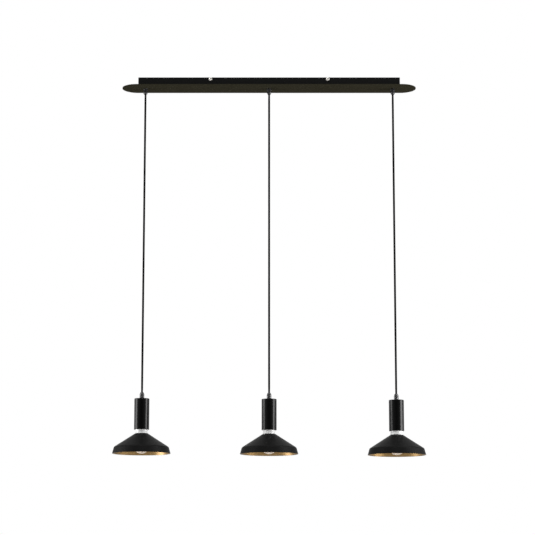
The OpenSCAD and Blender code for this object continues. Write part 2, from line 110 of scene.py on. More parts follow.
# Cord end and leads inside a head, from the top of its sleeve, in millimetres
JACKET_TOP = 12.9
JACKET_END = -46
HEAD_LEAD_BEND = 1.5
HEAD_LEAD_ROUTE = ((1.2, 0, -46), (1.2, 0, -50), (6, 0, -52), (6, 0, -56))

# Cord grip, in millimetres. EDGES, here and below, are the radii that round the corners of a profile
GRIP_D = 12.4
GRIP_H = 16.5
GRIP_TIP_D = 8
GRIP_TAPER_H = 5
GRIP_THREAD_D = 8.2
GRIP_THREAD_H = 5
GRIP_BORE_D = 5.6
GRIP_MOUTH_D = 6.5
GRIP_MOUTH_H = 0.8
GRIP_EDGES = (0, 0.4, 1.5, 0.3, 0, 0, 0, 0)
GRIP_STEPS = 6
GRIP_FACETS = 96

# Thumb screw with a dished head, in millimetres
SCREW_HEAD_D = 10
SCREW_HEAD_L = 4
SCREW_D = 4
SCREW_L = 7
SCREW_FLAT_R = 0.6
SCREW_DISH_R = 2.6
SCREW_DISH_DEPTH = 0.5
SCREW_KNURLS = 28
SCREW_KNURL_DEPTH = 0.35
SCREW_EDGES = (0, 0.2, 0.2, 0.8, 0.4, 0, 0.5, 0)
SCREW_FACETS = 168

# Neck ring, in millimetres
NECK_D = 33
NECK_H = 10
NECK_BORE_D = 28.4
NECK_COLLAR_D = 37.2
NECK_COLLAR_H = 3
NECK_GROOVE = 0.5
NECK_EDGES = (0, 0.6, 0.15, 0.15, 0.15, 0, 0, 0, 0)
NECK_FACETS = 128

# Shade, in millimetres. The edge of its rim begins at RIM_SHARE of the way up to the shoulder
SHADE_T = 1
SHADE_H = 53
SHADE_TOP_D = 33.6
SHADE_HOLE_D = 28.4
SHADE_EDGE_R = 3
SHOULDER_D = 144.6
SHOULDER_DROP = 35.8
SHOULDER_R = 6
RIM_D = 154
RIM_EDGE_R = 0.45
RIM_SHARE = 0.03
RIM_RISE = 0.5
RIM_STEPS = 5
SHADE_ARC_STEPS = 10
SHADE_STEP = 4
SHADE_FACETS = 192
SPIN_PITCH = 1.6

# Ring nut, in millimetres. A notch takes up the part of its wave from NOTCH_FROM to 1
RING_D = 38
RING_H = 6.5
RING_SEAT_D = 31.2
RING_BORE_D = 28.2
RING_EDGES = (0, 1, 0, 0, 0)
RING_STEP = 1
RING_FACETS = 240
NOTCHES = 12
NOTCH_DEPTH = 1
NOTCH_REACH = 1.2
NOTCH_FROM = 0.7
NOTCH_SPAN = 0.3

# Bulb cap, in millimetres. Its thread fades in and out over CAP_FADE
CAP_D = 13.6
CAP_L = 29
CAP_FLAT_R = 0.4
CAP_TIP_D = 4.8
CAP_TIP_H = 1.2
CAP_TIP_EDGES = (0, 0.5, 0)
CAP_CONE_H = 6
CAP_CONE_STEP = 2
CAP_PITCH = 2.8
CAP_THREAD_DEPTH = 0.8
CAP_FADE = 1.5
CAP_PLAIN_H = 4
CAP_STEP = 0.3
CAP_FACETS = 96

# Studio: a pale floor, a white backdrop, large soft lights, and a grey world that is darker behind the viewer
FLOOR_Z = -2.6
FLOOR_HALF = 60
FLOOR_COLOUR = (0.93, 0.93, 0.92)
FLOOR_PATCHES = 0.97
BACKDROP_Y = 5.6
BACKDROP_HALF = 2.4
BACKDROP_TOP = 4.5
BACKDROP_COLOUR = (0.8, 0.8, 0.8)
WORLD_GREY = 0.56
WORLD_DARK = 0.05
WORLD_DARK_TO = -0.5
SOFT_LIGHTS = (
    # name, place, the point it faces, width, height, radiance
    ("soft_left", (-1.9, -0.1, -1.10), (0, -0.1, -1.10), 0.9, 1.3, 6.5),
    ("soft_right", (1.9, -0.35, -0.95), (0, 0.0, -0.95), 1.0, 1.0, 9.0),
    ("soft_left_high", (-1.6, -0.6, 0.4), (0, 0.0, -1.0), 0.8, 0.7, 3.5),
    ("soft_right_high", (1.6, -0.6, 0.4), (0, 0.0, -1.0), 0.8, 0.7, 7.5),
    ("soft_front", (0, -2.4, 1.5), (0, 0.0, -0.95), 2.0, 1.2, 3.2),
    ("soft_above", (0, -0.4, 2.2), (0, -0.4, 0), 3.0, 2.0, 0.8),
)


# Paths and profiles

def points(route):
    """A route in millimetres as points in metres."""
    return [Vector(p) * MM for p in route]


def bend(a, b, c, radius, steps):
    """The arc of that radius which rounds the corner b between a and c."""
    u, v = (a - b).normalized(), (c - b).normalized()
    turn = math.pi - u.angle(v)
    start, end = b + u * radius * math.tan(turn / 2), b + v * radius * math.tan(turn / 2)
    middle = b + (u + v).normalized() * radius / math.cos(turn / 2)
    arc = []
    for k in range(steps + 1):
        there, back = math.sin(turn * k / steps), math.sin(turn * (1 - k / steps))
        arc.append(middle + (back * (start - middle) + there * (end - middle)) / math.sin(turn))
    return arc


def rounded(path, radii, steps=BEND_STEPS):
    """A path with its corners rounded by those radii, where 0 keeps a corner sharp."""
    out = []
    for k, radius in enumerate(radii):
        out += [path[k]] if radius == 0 else bend(path[k - 1], path[k], path[k + 1], radius, steps)
    return out


def bent(path, radius):
    """A path with every corner between its ends rounded by one radius."""
    return rounded(path, [0] + [radius] * (len(path) - 2) + [0])


def divided(path, step):
    """A path with points added, so that no stretch is longer than step."""
    out = [path[0]]
    for a, b in zip(path, path[1:]):
        count = max(1, math.ceil((b - a).length / step))
        out += [a.lerp(b, (k + 1) / count) for k in range(count)]
    return out


def profile(corners, radii=None, steps=EDGE_STEPS):
    """Corners (radius, height) in millimetres as points of a profile in the XZ plane, in metres."""
    path = [Vector((r, 0, z)) * MM for r, z in corners]
    return rounded(path, [r * MM for r in radii], steps) if radii else path


def outward(a, b):
    """The direction to the outside of a profile that runs from a to b, down the outside."""
    along = (b - a).normalized()
    return Vector((-along.z, 0, along.x))


def inset(a, b, c, wall):
    """The corner b of a profile, moved inward by a wall."""
    m, n = -outward(a, b), -outward(b, c)
    return b + wall * (m + n) / (1 + m.dot(n))


def ripple(turn):
    """A wave from 0 to 1 and back, once for each full turn."""
    return 0.5 - 0.5 * math.cos(turn)


def axis_ends(node):
    """The middles of the foot and of the top of a node's box."""
    low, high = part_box(node)
    x, y = (low.x + high.x) / 2, (low.y + high.y) / 2
    return Vector((x, y, low.z)), Vector((x, y, high.z))


# Meshes

class Skin:
    """A mesh in the making: rings of points joined by quads, with UVs round each ring and along the rings."""

    def __init__(self):
        self.points, self.faces, self.uvs, self.slots = [], [], [], []

    def add(self, face, uv, slot):
        """Adds a face with its UVs and its material slot."""
        self.faces.append(face)
        self.uvs.append(uv)
        self.slots.append(slot)

    def join(self, rings, closed=False, slots=None):
        """Joins neighbouring rings, and the last to the first if closed; otherwise both ends get a cap.

        slots are the material slots of the bands between the rings.
        """
        first, count = len(self.points), len(rings[0])
        self.points += [p for ring in rings for p in ring]
        bands = len(rings) if closed else len(rings) - 1
        run = 0.0
        for k in range(bands):
            after = (k + 1) % len(rings)
            here, there = first + k * count, first + after * count
            end = run + (rings[after][0] - rings[k][0]).length
            for j in range(count):
                n = (j + 1) % count
                u, w = j / count, (j + 1) / count
                self.add([here + j, here + n, there + n, there + j],
                         [(u, run), (w, run), (w, end), (u, end)], slots[k] if slots else 0)
            run = end
        if not closed:
            for ring, slot in ((0, 0), (len(rings) - 1, -1)):
                at = first + ring * count
                self.add([at + j for j in range(count)], [(j / count, 0) for j in range(count)],
                         slots[slot] if slots else 0)

    def tube(self, path, diameters, facets):
        """A round cord along a path, with a diameter at each of its points."""
        angles = [math.tau * j / facets for j in range(facets)]
        side = Vector((0.3, 1, 0.2))  # a direction that no path follows
        rings = []
        for k, (p, diameter) in enumerate(zip(path, diameters)):
            along = (path[min(k + 1, len(path) - 1)] - path[max(k - 1, 0)]).normalized()
            side = (side - side.dot(along) * along).normalized()
            up = along.cross(side)
            rings.append([p + diameter / 2 * (math.cos(a) * side + math.sin(a) * up) for a in angles])
        self.join(rings)

    def wire(self, path, diameter, facets):
        """A round cord of one diameter along a path."""
        self.tube(path, [diameter] * len(path), facets)

    def turned(self, path, at, facets, relief=None, axis=UPRIGHT, closed=True, slots=None):
        """A form turned about an axis through a point. relief(angle, radius, height) adds to the radius."""
        rings = []
        for p in path:
            ring = []
            for j in range(facets):
                angle = math.tau * j / facets
                r = p.x + (relief(angle, p.x, p.z) if relief else 0)
                ring.append(at + axis @ Vector((r * math.cos(angle), r * math.sin(angle), p.z)))
            rings.append(ring)
        self.join(rings, closed, slots)


def piece(name, skin, body, materials, replaces):
    """A finished piece of the lamp that rides on a body and stands for CAD nodes."""
    mesh = bpy.data.meshes.new(name)
    mesh.from_pydata(skin.points, [], skin.faces)
    layer = mesh.uv_layers.new(name="UVMap")
    for polygon, uv, index in zip(mesh.polygons, skin.uvs, skin.slots):
        polygon.material_index = index
        for loop, place in zip(polygon.loop_indices, uv):
            layer.data[loop].uv = place
    work = bmesh.new()
    work.from_mesh(mesh)
    bmesh.ops.recalc_face_normals(work, faces=work.faces)
    work.to_mesh(mesh)
    work.free()
    mesh.shade_smooth()
    mesh.set_sharp_from_angle(angle=math.radians(CREASE))
    for material in materials:
        mesh.materials.append(material)
    thing = bpy.data.objects.new(name, mesh)
    bpy.context.scene.collection.objects.link(thing)
    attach(thing, body)
    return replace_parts(thing, *replaces)


# Finishes

class Finish:
    """A procedural material: a Principled shader with plain values, and patterns that vary them."""

    # The colour sockets of a Mix node, which has others for numbers and vectors
    MIX_A, MIX_B, MIX_OUT = 6, 7, 2

    def __init__(self, name, colour, roughness, uv=False, **values):
        self.material = bpy.data.materials.new(name)
        self.material.use_nodes = True
        self.tree = self.material.node_tree
        self.shader = self.tree.nodes["Principled BSDF"]
        self.colour = (*colour, 1)
        self.shader.inputs["Base Color"].default_value = self.colour
        self.shader.inputs["Roughness"].default_value = roughness
        for socket, value in values.items():
            self.shader.inputs[socket.replace("_", " ")].default_value = value
        self.place = self.node("ShaderNodeTexCoord").outputs["UV" if uv else "Object"]

    def node(self, kind, **settings):
        """A new node of that kind with those settings."""
        made = self.tree.nodes.new(kind)
        for name, value in settings.items():
            setattr(made, name, value)
        return made

    def put(self, source, socket):
        """Links an output to an input, or sets a plain value there."""
        if isinstance(source, bpy.types.NodeSocket):
            self.tree.links.new(source, socket)
        else:
            socket.default_value = source

    def math(self, operation, a, b=0.0):
        """The result of an operation on outputs or plain values."""
        made = self.node("ShaderNodeMath", operation=operation)
        self.put(a, made.inputs[0])
        self.put(b, made.inputs[1])
        return made.outputs[0]

    def axes(self):
        """The separate coordinates of the place: round and along a piece where it has UVs."""
        made = self.node("ShaderNodeSeparateXYZ")
        self.put(self.place, made.inputs[0])
        return made.outputs

    def noise(self, scale, detail=4.0, stretch=(1, 1, 1)):
        """Cloudy variation from 0 to 1, with spots of about 1 / scale metres."""
        spread = self.node("ShaderNodeMapping")
        self.put(self.place, spread.inputs["Vector"])
        spread.inputs["Scale"].default_value = stretch
        made = self.node("ShaderNodeTexNoise")
        self.put(spread.outputs[0], made.inputs["Vector"])
        made.inputs["Scale"].default_value = scale
        made.inputs["Detail"].default_value = detail
        return made.outputs[0]

    def cells(self, scale):
        """Flat cells of random grey, as in a zinc spangle."""
        made = self.node("ShaderNodeTexVoronoi")
        self.put(self.place, made.inputs["Vector"])
        made.inputs["Scale"].default_value = scale
        grey = self.node("ShaderNodeRGBToBW")
        self.put(made.outputs["Color"], grey.inputs[0])
        return grey.outputs[0]

    def span(self, value, low, high):
        """A value from 0 to 1, spread over the range from low to high."""
        made = self.node("ShaderNodeMapRange")
        self.put(value, made.inputs["Value"])
        made.inputs["To Min"].default_value = low
        made.inputs["To Max"].default_value = high
        return made.outputs[0]

    def vary_colour(self, value, other):
        """Turns the colour towards another where the value is high."""
        made = self.node("ShaderNodeMix", data_type="RGBA")
        self.put(value, made.inputs["Factor"])
        self.put(self.colour, made.inputs[self.MIX_A])
        self.put((*other, 1), made.inputs[self.MIX_B])
        self.put(made.outputs[self.MIX_OUT], self.shader.inputs["Base Color"])
        return self

    def vary_roughness(self, value, low, high):
        """Spreads the roughness from low to high by the value."""
        self.put(self.span(value, low, high), self.shader.inputs["Roughness"])
        return self

    def relief(self, height, depth, strength):
        """Adds fine relief of that depth in millimetres to the surface."""
        made = self.node("ShaderNodeBump")
        made.inputs["Distance"].default_value = depth * MM
        made.inputs["Strength"].default_value = strength
        self.put(height, made.inputs["Height"])
        self.put(made.outputs[0], self.shader.inputs["Normal"])
        return self


def zinc_steel():
    """Zinc plating: a spangle of flat cells, and faint lines along the strip."""
    finish = Finish("zinc_steel", (0.60, 0.61, 0.62), 0.35, Metallic=1)
    finish.vary_colour(finish.cells(160), (0.72, 0.72, 0.70))
    finish.vary_roughness(finish.noise(90), 0.26, 0.46)
    return finish.relief(finish.noise(2500, stretch=(0.05, 1, 1)), depth=0.1, strength=0.3)


def powder_coat():
    """Matt black powder coat with a fine grain."""
    finish = Finish("black_powder_coat", (0.002, 0.002, 0.002), 0.5, Specular_IOR_Level=0.07)
    grain = finish.noise(1400, detail=2)
    finish.vary_colour(finish.noise(30), (0.004, 0.004, 0.0037))
    finish.vary_roughness(grain, 0.42, 0.58)
    return finish.relief(grain, depth=0.1, strength=0.35)


def satin_plate():
    """Satin lacquer, a warm black without gloss."""
    finish = Finish("black_satin_plate", (0.0215, 0.0197, 0.0122), 0.6, Specular_IOR_Level=0.0)
    finish.vary_colour(finish.noise(14), (0.0275, 0.0255, 0.0175))
    finish.vary_roughness(finish.noise(60), 0.55, 0.65)
    return finish.relief(finish.noise(1800, detail=2), depth=0.08, strength=0.2)


def nickel():
    """Nickel plating, slightly cloudy."""
    finish = Finish("nickel", (0.66, 0.645, 0.61), 0.25, Metallic=1)
    finish.vary_colour(finish.noise(400), (0.58, 0.56, 0.52))
    return finish.vary_roughness(finish.noise(900), 0.18, 0.32)


def grip_plastic():
    """Smoky plastic that lets some light through."""
    finish = Finish("grip_plastic", (0.14, 0.14, 0.145), 0.22, Transmission_Weight=0.8, IOR=1.45)
    finish.vary_colour(finish.noise(250), (0.18, 0.18, 0.18))
    finish.vary_roughness(finish.noise(700), 0.18, 0.30)
    return finish.relief(finish.noise(900, detail=2), depth=0.06, strength=0.2)


def moulded(name, colour, other, roughness):
    """A moulded plastic or fired piece: slightly mottled, with a fine skin."""
    spread = 0.07
    finish = Finish(name, colour, roughness)
    finish.vary_colour(finish.noise(180), other)
    finish.vary_roughness(finish.noise(500), roughness - spread, roughness + spread)
    return finish.relief(finish.noise(1600, detail=2), depth=0.06, strength=0.25)


def brass():
    """Bare brass with darker patches."""
    finish = Finish("brass", (0.76, 0.56, 0.24), 0.3, Metallic=1)
    finish.vary_colour(finish.noise(350), (0.60, 0.42, 0.17))
    return finish.vary_roughness(finish.noise(700), 0.22, 0.42)


def cord_cover():
    """A braided cover: two families of strands that wind both ways and pass over each other in turn. The
    crowns of the strands are painted lighter than the hollows between them: a painted highlight on the crowns
    and painted shade in the hollows.
    """
    finish = Finish("cord_cover", (0.001, 0.001, 0.001), 0.8, uv=True, Specular_IOR_Level=0.05)
    around, along, _ = finish.axes()
    turns = finish.math("MULTIPLY", around, BRAID_STRANDS)
    rise = finish.math("MULTIPLY", along, BRAID_STRANDS / (BRAID_PITCH * MM))
    crowns, floors = [], []
    for sign in ("ADD", "SUBTRACT"):
        strand = finish.math(sign, turns, rise)
        crowns.append(finish.math("SINE", finish.math("MULTIPLY", finish.math("FRACT", strand), math.pi)))
        floors.append(finish.math("FLOOR", strand))
    over = finish.math("PINGPONG", finish.math("ADD", *floors), 1.0)
    under = finish.math("SUBTRACT", 1.0, over)
    height = finish.math("ADD", finish.math("MULTIPLY", crowns[0], over),
                         finish.math("MULTIPLY", crowns[1], under))
    # painted highlight and painted shade: the strand crowns are painted lighter and the hollows between
    # strands darker
    finish.vary_colour(height, (0.009, 0.009, 0.009))
    return finish.relief(height, depth=0.3, strength=0.4)


def lead_plastic(name, colour, other, striped=False):
    """Soft insulation, slightly mottled, or with two stripes along it."""
    stripe = 0.25  # its width as a share of the way round
    finish = Finish(name, colour, 0.4, uv=True)
    if striped:
        to_and_fro = finish.math("PINGPONG", finish.axes()[0], stripe)
        pattern = finish.math("GREATER_THAN", to_and_fro, stripe / 2)
    else:
        pattern = finish.noise(40)
    finish.vary_colour(pattern, other)
    return finish.vary_roughness(finish.noise(25), 0.34, 0.48)


def gloss_black():
    """Gloss black lacquer with a trace of orange peel."""
    finish = Finish("gloss_black", (0.001, 0.001, 0.001), 0.16, Specular_IOR_Level=0.20)
    finish.vary_colour(finish.noise(25), (0.0018, 0.0018, 0.0018))
    finish.vary_roughness(finish.noise(45), 0.18, 0.24)
    return finish.relief(finish.noise(260, detail=1), depth=0.1, strength=0.06)


def opal_acrylic():
    """Milky acrylic that scatters light inside."""
    finish = Finish("opal_acrylic", (0.96, 0.96, 0.95), 0.3, Subsurface_Weight=0.7,
                    Subsurface_Radius=(0.008, 0.008, 0.008), Subsurface_Scale=1.0)
    finish.vary_colour(finish.noise(120), (0.93, 0.93, 0.915))
    return finish.vary_roughness(finish.noise(400), 0.24, 0.36)


def spun(name, colour, other, low, high, depth, **values):
    """Spun sheet: faint rings left by the spinning tool, along the profile of the shade."""
    ring_height = 0.4
    finish = Finish(name, colour, low, uv=True, **values)
    along = finish.axes()[1]
    ring = finish.math("SINE", finish.math("MULTIPLY", along, math.tau / (SPIN_PITCH * MM)))
    broken = finish.noise(420, detail=3, stretch=(0.05, 1, 1))
    height = finish.math("ADD", finish.math("MULTIPLY", ring, ring_height), broken)
    finish.vary_colour(finish.noise(3, detail=3, stretch=(1, 20, 1)), other)
    finish.vary_roughness(broken, low, high)
    return finish.relief(height, depth, strength=0.5)


def shade_black():
    """Satin black outside a shade."""
    return spun("shade_black", (0.002, 0.002, 0.002), (0.0035, 0.0035, 0.0033), 0.42, 0.54, depth=0.05,
                Specular_IOR_Level=0.09)


def shade_gold():
    """Gold inside a shade, under clear lacquer."""
    return spun("shade_gold", (0.325, 0.195, 0.058), (0.28, 0.16, 0.043), 0.32, 0.42, depth=0.03,
                Metallic=1, Coat_Weight=1.0, Coat_Roughness=0.3)


def opal_glass():
    """Satin opal glass of an unlit bulb. Its beige, darkened colour is painted light: a painted reflection of
    the gold light that the inside of a shade throws on the white bulb, and painted shade for the shade the
    bulb hangs in.
    """
    # painted reflection and painted shade: the beige base colour stands in for gold light bounced from the
    # shade's inside and for the shade around the bulb; the bulb itself is white opal
    finish = Finish("opal_glass", (0.66, 0.53, 0.42), 0.22, Subsurface_Weight=0.2,
                    Subsurface_Radius=(0.006, 0.005, 0.004), Subsurface_Scale=1.0)
    finish.vary_colour(finish.noise(60), (0.63, 0.50, 0.39))
    return finish.vary_roughness(finish.noise(300), 0.16, 0.28)


def make_finishes():
    """Every finish by the name of its slot in the record. The shade has one for each side of its sheet."""
    made = {
        "zinc_steel": zinc_steel(),
        "black_powder_coat": powder_coat(),
        "black_satin_plate": satin_plate(),
        "nickel": nickel(),
        "grip_plastic": grip_plastic(),
        "ivory_plastic": moulded("ivory_plastic", (0.80, 0.76, 0.64), (0.74, 0.69, 0.56), 0.42),
        "brass": brass(),
        "cord_cover": cord_cover(),
        "brown_lead": lead_plastic("brown_lead", (0.16, 0.06, 0.025), (0.13, 0.05, 0.02)),
        "blue_lead": lead_plastic("blue_lead", (0.03, 0.11, 0.42), (0.025, 0.09, 0.36)),
        "earth_lead": lead_plastic("earth_lead", (0.07, 0.24, 0.05), (0.72, 0.58, 0.05), striped=True),
        "gloss_black": gloss_black(),
        "holder_black": moulded("holder_black", (0.014, 0.014, 0.014), (0.02, 0.02, 0.02), 0.4),
        "white_insulator": moulded("white_insulator", (0.80, 0.80, 0.78), (0.74, 0.74, 0.71), 0.35),
        "opal_acrylic": opal_acrylic(),
        "shade_black": shade_black(),
        "shade_gold": shade_gold(),
        "opal_glass": opal_glass(),
    }
    return {slot: finish.material for slot, finish in made.items()}


# Camera, cords and wiring

def add_camera():
    """The photograph's camera, as near as a small shift lets it come."""
    data = bpy.data.cameras.new("camera")
    data.lens = CAMERA_LENS
    data.sensor_width = CAMERA_SENSOR
    data.shift_x, data.shift_y = CAMERA_SHIFT
    camera = bpy.data.objects.new("camera", data)
    camera.location = CAMERA_AT
    camera.rotation_euler = (math.radians(90 + CAMERA_TILT), 0, 0)
    bpy.context.scene.collection.objects.link(camera)
    bpy.context.scene.camera = camera


def add_cord(i, material):
    """The free stretch of a cord, a straight tube between its two grips that narrows to its ends inside their
    mouths.
    """
    low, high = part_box(f"cord_{i}")
    x, tip = (low.x + high.x) / 2, CORD_TIP_H * MM
    top, foot = Vector((x, 0, high.z - tip)), Vector((x, 0, low.z + tip))
    path = [top.lerp(foot, k / CORD_RINGS) for k in range(CORD_RINGS + 1)]
    whole = [Vector((x, 0, high.z))] + path + [Vector((x, 0, low.z))]
    squeezed = [CORD_TIP_D * MM, CORD_D * MM]
    diameters = squeezed + [BRAID_D * MM] * (len(path) - 2) + squeezed[::-1]
    skin = Skin()
    skin.tube(whole, diameters, CORD_FACETS)
    cord = piece(f"braided_cord_{i}", skin, f"cord_{i}", [material], [f"cord_{i}"])


def add_canopy_wiring(finishes):
    """The cord tails and their cores, from the grips to the terminal block, and the earth lead to its lug."""
    tails = Skin()
    cores = [Skin() for _ in CORES]
    for route, way, level in zip(TAIL_ROUTES, TAIL_WAYS, CORE_LEVELS):
        tail = bent(points(route), TAIL_BEND * MM)
        tails.wire(divided(tail, TAIL_STEP * MM), CORD_D * MM, TAIL_FACETS)
        face, z = BLOCK_X - way * BLOCK_L / 2, POLE_Z + level
        for core, angle, y in zip(cores, CORE_ANGLES, POLES):
            a = math.radians(angle)
            start = Vector(route[-1]) + CORE_PITCH * Vector((0, math.cos(a), math.sin(a)))
            lead = [start, start + Vector((way * LEAD_RUN, 0, 0)),
                    (face - way * LEAD_RUN, y, z), (face + way * LEAD_IN_POLE, y, z)]
            core.wire(bent(points(lead), LEAD_BEND * MM), LEAD_D * MM, LEAD_FACETS)
    earth = cores[-1]
    earth.wire(bent(points(EARTH_ROUTE), LEAD_BEND * MM), LEAD_D * MM, LEAD_FACETS)
    piece("cord_tail_covers", tails, "canopy", [finishes["cord_cover"]], ["cord_tails"])
    for core, (slot, node) in zip(cores, CORES):
        piece(f"{node}_insulation", core, "canopy", [finishes[slot]], [node])


def add_head_wiring(i, at, finishes):
    """The end of a cord inside the head, and its two leads to the contact posts."""
    skin = Skin()
    jacket = [at + Vector((0, 0, z * MM)) for z in (JACKET_TOP, JACKET_END)]
    skin.wire(jacket, CORD_D * MM, TAIL_FACETS)
    for side in (-1, 1):
        lead = [at + Vector((side * p.x, p.y, p.z)) for p in points(HEAD_LEAD_ROUTE)]
        skin.wire(bent(lead, HEAD_LEAD_BEND * MM), LEAD_D * MM, LEAD_FACETS)
    piece(f"holder_wiring_{i}", skin, f"head_{i}", [finishes["cord_cover"]],
          [f"holder_leads_{i}"])


# Turned pieces of the canopy and the heads

def cord_grip(skin, at, axis):
    """A cord grip that stands at a point with its mouth along an axis."""
    corners = [(GRIP_THREAD_D / 2, 0), (GRIP_D / 2, 0), (GRIP_D / 2, GRIP_H - GRIP_TAPER_H),
               (GRIP_TIP_D / 2, GRIP_H), (GRIP_MOUTH_D / 2, GRIP_H), (GRIP_BORE_D / 2, GRIP_H - GRIP_MOUTH_H),
               (GRIP_BORE_D / 2, GRIP_THREAD_H), (GRIP_THREAD_D / 2, GRIP_THREAD_H)]
    skin.turned(profile(corners, GRIP_EDGES, GRIP_STEPS), at, GRIP_FACETS, axis=axis)


def add_canopy_grips(finishes):
    """The three cord grips under the canopy plate, as one piece."""
    skin = Skin()
    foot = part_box("canopy_plate")[0].z
    for i in PENDANTS:
        low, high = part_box(f"cord_{i}")
        cord_grip(skin, Vector(((low.x + high.x) / 2, 0, foot)), UPSIDE_DOWN)
    piece("canopy_grip_bodies", skin, "canopy", [finishes["grip_plastic"]], ["canopy_grips"])


def screw_knurls(angle, radius, height):
    """Straight knurls on the rim of a thumb screw's head."""
    if radius < SCREW_HEAD_D / 2 * MM - TINY:
        return 0
    return -SCREW_KNURL_DEPTH * MM * ripple(SCREW_KNURLS * angle)


def add_side_screws(finishes):
    """Four thumb screws with knurled heads on the front and the back of the canopy box."""
    low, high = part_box("side_screws")
    x = (high.x - low.x - SCREW_HEAD_D * MM) / 2
    z = (low.z + high.z) / 2
    dish = SCREW_HEAD_L - SCREW_DISH_DEPTH
    corners = [(SCREW_FLAT_R, dish), (SCREW_DISH_R, dish), (SCREW_DISH_R + SCREW_DISH_DEPTH, SCREW_HEAD_L),
               (SCREW_HEAD_D / 2, SCREW_HEAD_L), (SCREW_HEAD_D / 2, 0), (SCREW_D / 2, 0),
               (SCREW_D / 2, -SCREW_L), (SCREW_FLAT_R, -SCREW_L)]
    path = profile(corners, SCREW_EDGES)
    skin = Skin()
    for side in (-1, 1):
        axis = Matrix.Rotation(math.radians(-90 * side), 3, "X")
        seat = side * (high.y - SCREW_HEAD_L * MM)
        for across in (-x, x):
            skin.turned(path, Vector((across, seat, z)), SCREW_FACETS, screw_knurls, axis, closed=False)
    piece("thumb_screws", skin, "canopy", [finishes["nickel"]], ["side_screws"])


def add_sleeve_grip(i, at, finishes):
    """The cord grip on top of a sleeve."""
    skin = Skin()
    cord_grip(skin, at, UPRIGHT)
    piece(f"sleeve_grip_body_{i}", skin, f"head_{i}", [finishes["grip_plastic"]],
          [f"sleeve_grip_{i}"])


def add_neck_ring(i, at, finishes):
    """The opal ring under a sleeve, with a fine groove round its middle."""
    r, bore, collar = NECK_D / 2, NECK_BORE_D / 2, NECK_COLLAR_D / 2
    middle, g = -NECK_H / 2, NECK_GROOVE
    corners = [(bore, -NECK_H), (r, -NECK_H), (r, middle - g), (r - g, middle), (r, middle + g), (r, 0),
               (collar, 0), (collar, NECK_COLLAR_H), (bore, NECK_COLLAR_H)]
    skin = Skin()
    skin.turned(profile(corners, NECK_EDGES), at, NECK_FACETS)
    piece(f"opal_ring_{i}", skin, f"head_{i}", [finishes["opal_acrylic"]], [f"neck_ring_{i}"])


def shade_sides():
    """A shade's profile: its outside, from the hole down and round the rim, and its inside, back up."""
    hole, top, shoulder, rim = profile([(SHADE_HOLE_D / 2, 0), (SHADE_TOP_D / 2, 0),
                                        (SHOULDER_D / 2, -SHOULDER_DROP), (RIM_D / 2, -SHADE_H)])
    wall, edge = SHADE_T * MM, RIM_EDGE_R * MM
    inner_rim = rim - outward(shoulder, rim) * wall
    outside = rounded([hole, top, shoulder, rim.lerp(shoulder, RIM_SHARE)],
                      [0, SHADE_EDGE_R * MM, SHOULDER_R * MM, 0], SHADE_ARC_STEPS)
    lip = rounded([outside[-1], rim, Vector((inner_rim.x, 0, rim.z)), inner_rim.lerp(shoulder, RIM_SHARE)],
                  [0, edge, edge, 0], RIM_STEPS)[1:-1]
    inside = rounded([inner_rim + Vector((0, 0, RIM_RISE * MM)), inset(top, shoulder, rim, wall),
                      inset(hole, top, shoulder, wall), hole - Vector((0, 0, wall))],
                     [0, (SHOULDER_R - SHADE_T) * MM, (SHADE_EDGE_R - SHADE_T) * MM, 0], SHADE_ARC_STEPS)
    return divided(outside, SHADE_STEP * MM) + lip, divided(inside, SHADE_STEP * MM)


def add_shade(i, at, finishes):
    """A spun shade of one sheet, black outside and gold inside. at is the middle of its flat top."""
    black, gold = shade_sides()
    slots = [0] * len(black) + [1] * (len(gold) - 1) + [0]
    skin = Skin()
    skin.turned(black + gold, at, SHADE_FACETS, slots=slots)
    piece(f"spun_shade_{i}", skin, f"head_{i}",
          [finishes["shade_black"], finishes["shade_gold"]], [f"shade_{i}"])


def ring_notches(angle, radius, height):
    """Finger notches round a ring nut."""
    if radius < RING_D / 2 * MM - NOTCH_REACH * MM:
        return 0
    return -NOTCH_DEPTH * MM * max(0, (ripple(NOTCHES * angle) - NOTCH_FROM) / NOTCH_SPAN) ** 0.5


def add_ring_nut(i, finishes):
    """The notched ring nut that clamps the shade, with its bevel under the cone."""
    foot, _ = axis_ends(f"shade_ring_{i}")
    r, seat, bore = RING_D / 2, RING_SEAT_D / 2, RING_BORE_D / 2
    corners = [(bore, 0), (r, 0), (r, RING_H + seat - r), (seat, RING_H), (bore, RING_H)]
    path = divided(profile(corners, RING_EDGES), RING_STEP * MM)
    skin = Skin()
    skin.turned(path, foot, RING_FACETS, ring_notches)
    piece(f"notched_ring_{i}", skin, f"head_{i}", [finishes["holder_black"]],
          [f"shade_ring_{i}"])


def cap_thread(angle, radius, height):
    """The rounded screw thread of a bulb cap, between its cone and its plain end."""
    if radius < CAP_D / 2 * MM - TINY:
        return 0
    down = -height / MM
    start, end = CAP_TIP_H + CAP_CONE_H, CAP_L - CAP_PLAIN_H
    fade = max(0, min(1, (down - start) / CAP_FADE, (end - down) / CAP_FADE))
    return -CAP_THREAD_DEPTH * MM * fade * (0.5 + 0.5 * math.cos(math.tau * down / CAP_PITCH + angle))


